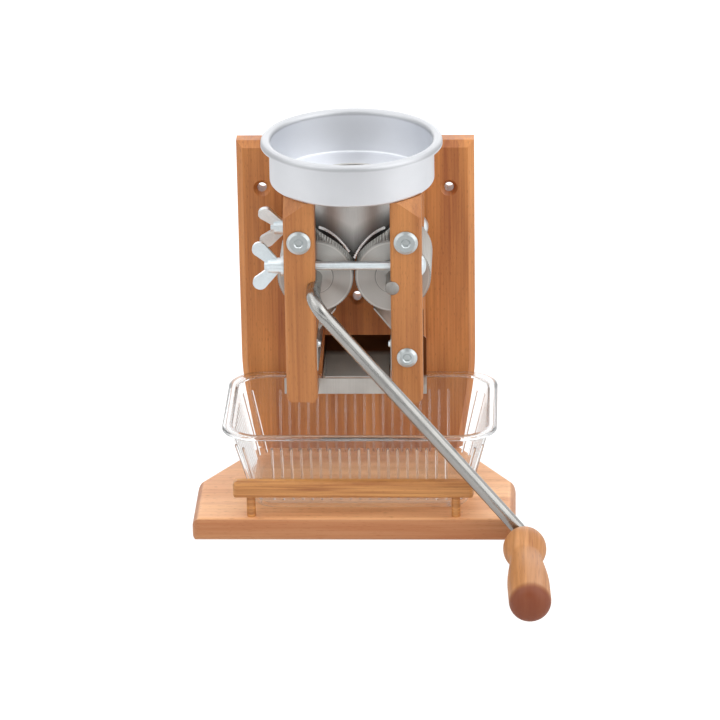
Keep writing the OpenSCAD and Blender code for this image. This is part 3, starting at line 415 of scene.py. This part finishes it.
# The pan is the CAD solid's own profile, spun finely enough for its rim to mirror cleanly.
PAN_WALL = 1.0
PAN_EDGE_R = 2.5
PAN_HOLE_R = 28.52
RIM_W = 6.0
RIM_LIP = 1.2
pan_low, pan_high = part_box("hopper_pan")
pan_foot = Vector((middle("hopper_pan").x, middle("hopper_pan").y, pan_low.z))
pan_r = (pan_high.x - pan_low.x) / 2 / MM - RIM_W
pan_h = (pan_high.z - pan_low.z) / MM
edge_at = (pan_r - PAN_EDGE_R, PAN_EDGE_R)
roll_r = (RIM_W + PAN_WALL) / 2
roll_at = (pan_r + RIM_W - roll_r, pan_h - roll_r)
lip_z = roll_at[1] - RIM_LIP
pan_profile = [(PAN_HOLE_R, 0.0)]
pan_profile += arc(edge_at, PAN_EDGE_R, -90, 0, 8)
pan_profile += arc(roll_at, roll_r - PAN_WALL, 180, 0, 16)
pan_profile += [(pan_r + RIM_W - PAN_WALL, lip_z), (pan_r + RIM_W, lip_z)]
pan_profile += arc(roll_at, roll_r, 0, 180, 20)
pan_profile += arc(edge_at, PAN_EDGE_R - PAN_WALL, 0, -90, 8)
pan_profile += [(PAN_HOLE_R, PAN_WALL)]
pan_shape = bmesh.new()
spun(pan_shape, pan_profile, True, 192, Matrix.Translation(pan_foot))
spun_pan = finish_piece("spun_pan", pan_shape, "hopper", spun_aluminium, 35)
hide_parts("hopper_pan")


# The grip is turned with a soft waist: a ball that flows into a long swelling with a round end.
GRIP_L = 102.0
GRIP_BORE_R = 5.2
GRIP_BORE_L = 84.0
BALL_R = 15.0
BALL_AT = 14.2
BALL_HALF = 16.5
WAIST_R = 10.0
SWELL_R = 14.8
SWELL_FROM, SWELL_TO = 14.0, 70.0
DOME_L = 12.4
DOME_POWER = 2.4
BLEND_POWER = 5.0


def grip_radius(along):
    """Radius of the turned grip at a distance from its end at the arm."""
    ball = BALL_R * math.sqrt(max(0.0, 1 - ((along - BALL_AT) / BALL_HALF) ** 2))
    rise = min(1.0, max(0.0, (along - SWELL_FROM) / (SWELL_TO - SWELL_FROM)))
    swell = WAIST_R + (SWELL_R - WAIST_R) * rise * rise * (3 - 2 * rise)
    radius = (ball ** BLEND_POWER + swell ** BLEND_POWER) ** (1 / BLEND_POWER)
    into_dome = max(0.0, along - GRIP_L + DOME_L) / DOME_L
    return radius * math.sqrt(max(0.0, 1 - into_dome ** DOME_POWER))


straight_l = GRIP_L - DOME_L
grip_stops = [straight_l * i / 60 for i in range(60)]
grip_stops += [straight_l + DOME_L * math.sin(math.radians(90 * i / 20)) for i in range(20)]
grip_profile = [(0.0, GRIP_BORE_L), (GRIP_BORE_R, GRIP_BORE_L), (GRIP_BORE_R, 0.0)]
grip_profile += [(grip_radius(stop), stop) for stop in grip_stops] + [(0.0, GRIP_L)]
grip_axis = Vector(grip_joint["axis"])
grip_foot = Vector(grip_joint["pos_m"]) + grip_axis * (grip_reach - GRIP_L) * MM
grip_place = Matrix.Translation(grip_foot) @ grip_axis.to_track_quat("Z", "Y").to_matrix().to_4x4()
grip_shape = bmesh.new()
spun(grip_shape, grip_profile, False, 72, grip_place)
turned_grip = finish_piece("turned_grip", grip_shape, "handle", grip_beech, 40)
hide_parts("grip")


# Just above its saddle-shaped lower edge the feed tube carries a thin ridged bead in two lengths that
# stop short of the front; it is a painted highlight that stands for the bright gap at the rollers.
SADDLE_R = 30.2
TUBE_TOP_R = 28.5
TUBE_TAPER = 0.0405
BEAD_R = 1.35
BEAD_LIFT_ENDS = 1.2
BEAD_LIFT_MIDDLE = 3.6
BEAD_LIFT_SPAN = 75
BEAD_TURNS = (4, 56)
BEAD_STEPS = 64
mill_x = (roller_left.x + roller_right.x) / 2 / MM
axle_x = (roller_right.x - roller_left.x) / 2 / MM
axle_h = roller_left.z / MM
tube_x, tube_y = middle("feed_tube").x / MM, middle("feed_tube").y / MM


def tube_edge(turn):
    """A point a little above the tube's lower edge, by its turn from the front in radians."""
    height = axle_h + SADDLE_R
    swell = math.sin(math.pi * math.degrees(abs(turn)) / BEAD_LIFT_SPAN)
    lift = BEAD_LIFT_ENDS + BEAD_LIFT_MIDDLE * swell
    for _ in range(6):
        radius = TUBE_TOP_R - TUBE_TAPER * (pan_low.z / MM - height)
        away = axle_x - abs(tube_x + radius * math.sin(turn) - mill_x)
        height = axle_h + math.sqrt(max(0, SADDLE_R ** 2 - away ** 2)) + lift
    return Vector((tube_x + radius * math.sin(turn), tube_y - radius * math.cos(turn), height)) * MM


bead_curve = bpy.data.curves.new("gap_highlight_bead", "CURVE")
bead_curve.dimensions = "3D"
bead_curve.bevel_depth = BEAD_R * MM
bead_curve.bevel_resolution = 2
bead_curve.use_fill_caps = True
for side in (-1, 1):
    bead_line = bead_curve.splines.new("POLY")
    bead_line.points.add(BEAD_STEPS)
    for step, point in enumerate(bead_line.points):
        turn = BEAD_TURNS[0] + (BEAD_TURNS[1] - BEAD_TURNS[0]) * step / BEAD_STEPS
        point.co = tuple(tube_edge(side * math.radians(turn))) + (1.0,)
        point.radius = 0.55 if step % 2 else 1.0
bead_maker = bpy.data.objects.new("gap_highlight_curve", bead_curve)
bead = bmesh.new()
bead.from_mesh(bead_maker.to_mesh())
bead_maker.to_mesh_clear()
bpy.data.objects.remove(bead_maker)
bmesh.ops.remove_doubles(bead, verts=bead.verts, dist=0.01 * MM)
# White steel bead, a painted highlight: its ridges show as a white toothed line where the gap between tube
# and rollers is bright.
gap_highlight_steel = metal("gap_highlight_steel", "#ffffff", 0.4, 0.1, sheet_marks, 0.005, cloud=0.0)
finish_piece("gap_highlight_bead", bead, "hopper", gap_highlight_steel, 60)


# The tray is the CAD tray's form in three clear pieces with round corners: a thin shell, its
# lip and its solid ribs. Sizes are in millimetres, heights from the tray's bottom.
TRAY_FLARE = math.tan(math.radians(14.6))
TRAY_WALL = 1.9
TRAY_LIP_W = 5.0
TRAY_LIP_T = 2.4
WALL_CORNER_R = 13.0
LIP_CORNER_R = 24.0
RIB_R = 0.95
RIB_PITCH = 6.9
RIB_FOOT = 8.0
RIB_TOP = 51.5
tray_low, tray_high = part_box("tray")
tray_foot = Vector(((tray_low.x + tray_high.x) / 2, (tray_low.y + tray_high.y) / 2, tray_low.z))
tray_size = (tray_high - tray_low) / MM


def tray_inset(height):
    """How far the wall's outside lies inside the lip's outline."""
    return TRAY_LIP_W + (tray_size.z - height) * TRAY_FLARE


def tray_outline(inset):
    """Width and depth of the tray's outline, pulled in on every side."""
    return (tray_size.x - 2 * inset, tray_size.y - 2 * inset)


def tray_start(shape, radius, inset, height):
    """A flat face with round corners; gives the loop of its edges."""
    half = [side / 2 * MM for side in tray_outline(inset)]
    turns = ((-1, -1), (1, -1), (1, 1), (-1, 1))
    level = Vector((0, 0, height * MM))
    corners = [shape.verts.new(tray_foot + level + Vector((x * half[0], y * half[1], 0))) for x, y in turns]
    shape.faces.new(corners)
    bmesh.ops.bevel(shape, geom=corners, offset=radius * MM, offset_type="OFFSET", segments=12,
                    profile=0.5, affect="VERTICES", material=-1)
    return shape.edges[:]


def tray_step(shape, loop, old_inset, inset, height):
    """Extrudes a loop to a new outline and height; gives the new loop."""
    made = bmesh.ops.extrude_edge_only(shape, edges=loop)["geom"]
    verts = [part for part in made if isinstance(part, bmesh.types.BMVert)]
    fresh = set(verts)
    ratio = [new / old for new, old in zip(tray_outline(inset), tray_outline(old_inset))]
    bmesh.ops.scale(shape, vec=(ratio[0], ratio[1], 1), space=Matrix.Translation(-tray_foot), verts=verts)
    rise = tray_foot.z + height * MM - verts[0].co.z
    bmesh.ops.translate(shape, vec=(0, 0, rise), verts=verts)
    edges = [part for part in made if isinstance(part, bmesh.types.BMEdge)]
    return [edge for edge in edges if fresh.issuperset(edge.verts)]


def tray_steps(shape, loop, sections):
    """Runs a loop through (inset, height) sections, the first of which is where it is."""
    for (old, _), (inset, height) in zip(sections, sections[1:]):
        loop = tray_step(shape, loop, old, inset, height)
    return loop


shell_top = tray_size.z - TRAY_LIP_T / 2
shell = bmesh.new()
sections = [(tray_inset(0) + 2.5, 0), (tray_inset(0) + 0.8, 0.4), (tray_inset(2), 2)]
sections += [(tray_inset(shell_top), shell_top)]
sections += [(tray_inset(shell_top) + TRAY_WALL, shell_top), (tray_inset(4) + TRAY_WALL, 4)]
sections += [(tray_inset(TRAY_WALL) + TRAY_WALL + 2, TRAY_WALL)]
floor_loop = tray_steps(shell, tray_start(shell, WALL_CORNER_R, *sections[0]), sections)
bmesh.ops.contextual_create(shell, geom=floor_loop)
tray_shell = finish_piece("tray_shell", shell, "catch_tray", wall_plastic, 35)
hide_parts("tray")

lip = bmesh.new()
lip_low, lip_high = tray_size.z - TRAY_LIP_T, tray_size.z
lip_in = tray_inset(tray_size.z) + TRAY_WALL + 0.3
sections = [(0.0, lip_low + 0.8), (0.0, lip_high - 0.8), (0.8, lip_high), (lip_in - 0.8, lip_high)]
sections += [(lip_in, lip_high - 0.8), (lip_in, lip_low + 0.8), (lip_in - 0.8, lip_low), (0.8, lip_low)]
first = tray_start(lip, LIP_CORNER_R, *sections[0])
bmesh.ops.delete(lip, geom=lip.faces[:], context="FACES_ONLY")
last = tray_steps(lip, first, sections)
bmesh.ops.bridge_loops(lip, edges=first + last)
finish_piece("tray_lip", lip, "catch_tray", lip_plastic, 50)


def rib(shape, low, high):
    """A round rib with domed ends, between two points of the wall's outside."""
    run = high - low
    turn = Matrix.Translation(high) @ run.to_track_quat("Z", "Y").to_matrix().to_4x4()
    ball = bmesh.ops.create_uvsphere(shape, u_segments=12, v_segments=8, radius=RIB_R * MM, matrix=turn)
    lower = [vert for vert in ball["verts"] if (vert.co - high).dot(run) < -0.1 * RIB_R * MM * run.length]
    bmesh.ops.translate(shape, vec=-run, verts=lower)


def wall_point(side, offset, height, long_wall):
    """A point of the wall's outside, offset along it from its middle."""
    size = tray_outline(tray_inset(height))
    spot = (offset, side * size[1] / 2) if long_wall else (side * size[0] / 2, offset)
    return tray_foot + Vector((spot[0], spot[1], height)) * MM


def corner_point(side_x, side_y, turn, height):
    """A point round one of the wall's corners, by the turn from the side wall in degrees."""
    size = tray_outline(tray_inset(height))
    radius = WALL_CORNER_R * size[0] / tray_outline(tray_inset(0))[0]
    x = size[0] / 2 - radius + radius * math.cos(math.radians(turn))
    y = size[1] / 2 - radius + radius * math.sin(math.radians(turn))
    return tray_foot + Vector((side_x * x, side_y * y, height)) * MM


ribs = bmesh.new()
for long_wall in (True, False):
    straight = tray_outline(tray_inset(RIB_FOOT))[0 if long_wall else 1] / 2 - WALL_CORNER_R
    count = int(straight / RIB_PITCH)
    for side in (-1, 1):
        for step in range(-count, count + 1):
            ends = [wall_point(side, step * RIB_PITCH, height, long_wall) for height in (RIB_FOOT, RIB_TOP)]
            rib(ribs, *ends)
for side_x in (-1, 1):
    for side_y in (-1, 1):
        for turn in (30, 60):
            rib(ribs, *[corner_point(side_x, side_y, turn, height) for height in (RIB_FOOT, RIB_TOP)])
finish_piece("tray_ribs", ribs, "catch_tray", rib_plastic, 40)


# Stage, light and camera


def stage_box(name, low, high, material):
    """A plain block of the stage."""
    mesh = bpy.data.meshes.new(name)
    corners = [(x, y, z) for x in (low[0], high[0]) for y in (low[1], high[1]) for z in (low[2], high[2])]
    faces = [(0, 1, 3, 2), (4, 6, 7, 5), (0, 4, 5, 1), (2, 3, 7, 6), (0, 2, 6, 4), (1, 5, 7, 3)]
    mesh.from_pydata(corners, [], faces)
    mesh.materials.append(material)
    block = bpy.data.objects.new(name, mesh)
    bpy.context.scene.collection.objects.link(block)


def white_stage(name):
    """Matt white that looks white to the camera and through clear plastic, and keeps a soft shadow."""
    material = bpy.data.materials.new(name)
    material.use_nodes = True
    tree = material.node_tree
    tree.nodes.clear()
    matt = add(tree, "BsdfDiffuse", {"Color": grey(0.82)})
    lift = add(tree, "Emission", {"Color": grey(1.0), "Strength": 0.78})
    faint = add(tree, "BsdfDiffuse", {"Color": grey(0.4)})
    lifted = add(tree, "AddShader", links={0: lift, 1: faint})
    path = add(tree, "LightPath").outputs
    links = {0: path["Is Camera Ray"], 1: path["Is Transmission Ray"]}
    seen = add(tree, "Math", links=links, operation="MAXIMUM")
    mixed = add(tree, "MixShader", links={0: seen, 1: matt, 2: lifted})
    add(tree, "OutputMaterial", links={"Surface": mixed})
    return material


# The base stands on a low white block, because the grip hangs below it, past the block's front.
white = white_stage("white_paper")
drop = 30 * MM
set_back = 4 * MM
stage_box("floor", (-3, -0.62, -drop - 0.01), (3, 3, -drop), white)
stage_box("worktop", (base_low.x, base_low.y + set_back, -drop), (base_high.x, base_high.y, 0), white)


def area_light(name, place, target, size, power):
    """A soft white rectangular lamp that faces target."""
    lamp = bpy.data.lights.new(name, "AREA")
    lamp.shape = "RECTANGLE"
    lamp.size, lamp.size_y = size
    lamp.energy = power
    thing = bpy.data.objects.new(name, lamp)
    thing.location = place
    thing.rotation_euler = (Vector(target) - Vector(place)).to_track_quat("-Z", "Y").to_euler()
    bpy.context.scene.collection.objects.link(thing)


aim = (0, 0, 0.14)
area_light("top_softbox", (0.0, 0.1, 1.5), aim, (3.0, 2.4), 23)
area_light("back_softbox", (0.0, 1.9, 0.7), aim, (2.6, 1.3), 10)
area_light("left_softbox", (-1.5, -1.0, 1.1), aim, (2.4, 2.4), 15)
area_light("right_softbox", (1.6, -0.8, 1.1), aim, (2.4, 2.4), 25)
area_light("front_softbox", (0.0, -2.3, 0.35), aim, (2.2, 0.9), 6)

# The air is even light; metal sees it white behind the object and dark towards the user and
# overhead, where a studio is unlit.
world = bpy.data.worlds.new("studio")
bpy.context.scene.world = world
world.use_nodes = True
studio = world.node_tree
studio.nodes.clear()
path = add(studio, "LightPath").outputs
way = add(studio, "TexCoord").outputs["Generated"]
BRIGHT_WAY = (0.0, 0.9, -0.44)
behind = add(studio, "VectorMath", {1: BRIGHT_WAY}, {0: way}, operation="DOT_PRODUCT")
share = add(studio, "MapRange", {1: -1.0, 2: 1.0, 3: 0.0, 4: 1.0}, {0: behind.outputs["Value"]})
levels = [(0.0, 0.3), (0.2, 0.36), (0.32, 0.5), (0.5, 0.7), (0.75, 1.0)]
gloss = add(studio, "ValToRGB", links={0: share}, stops=[(spot, grey(level)) for spot, level in levels])
air = add(studio, "Background", {"Color": grey(1.0), "Strength": 0.32})
mirrored = add(studio, "Background", {"Strength": 1.0}, {"Color": gloss})
plain = add(studio, "Background", {"Color": grey(1.0), "Strength": 1.0})
lit = add(studio, "MixShader", links={0: path["Is Glossy Ray"], 1: air, 2: mirrored})
links = {0: path["Is Camera Ray"], 1: path["Is Transmission Ray"]}
seen = add(studio, "Math", links=links, operation="MAXIMUM")
sky = add(studio, "MixShader", links={0: seen, 1: lit, 2: plain})
add(studio, "OutputWorld", links={"Surface": sky})

# The camera stands well back, looks down at the front and turns a little to the left.
IMAGE_WIDTH = 720
FOCAL_PIXELS = 4122
EYE = Vector((121.1, -2755.8, 1248.7)) * MM
PITCH, YAW, ROLL = math.radians(22.41), math.radians(2.44), math.radians(-0.96)
ahead = Vector((-math.sin(YAW) * math.cos(PITCH), math.cos(YAW) * math.cos(PITCH), -math.sin(PITCH)))
level = Vector((math.cos(YAW), math.sin(YAW), 0))
upright = level.cross(ahead)
across = math.cos(ROLL) * level + math.sin(ROLL) * upright
upward = -math.sin(ROLL) * level + math.cos(ROLL) * upright
lens = bpy.data.cameras.new("camera")
lens.sensor_width = 36
lens.lens = lens.sensor_width * FOCAL_PIXELS / IMAGE_WIDTH
lens.clip_end = 50
camera = bpy.data.objects.new("camera", lens)
camera.matrix_world = Matrix.Translation(EYE) @ Matrix((across, upward, -ahead)).transposed().to_4x4()
bpy.context.scene.collection.objects.link(camera)
bpy.context.scene.camera = camera
bpy.context.scene.view_settings.view_transform = "Standard"
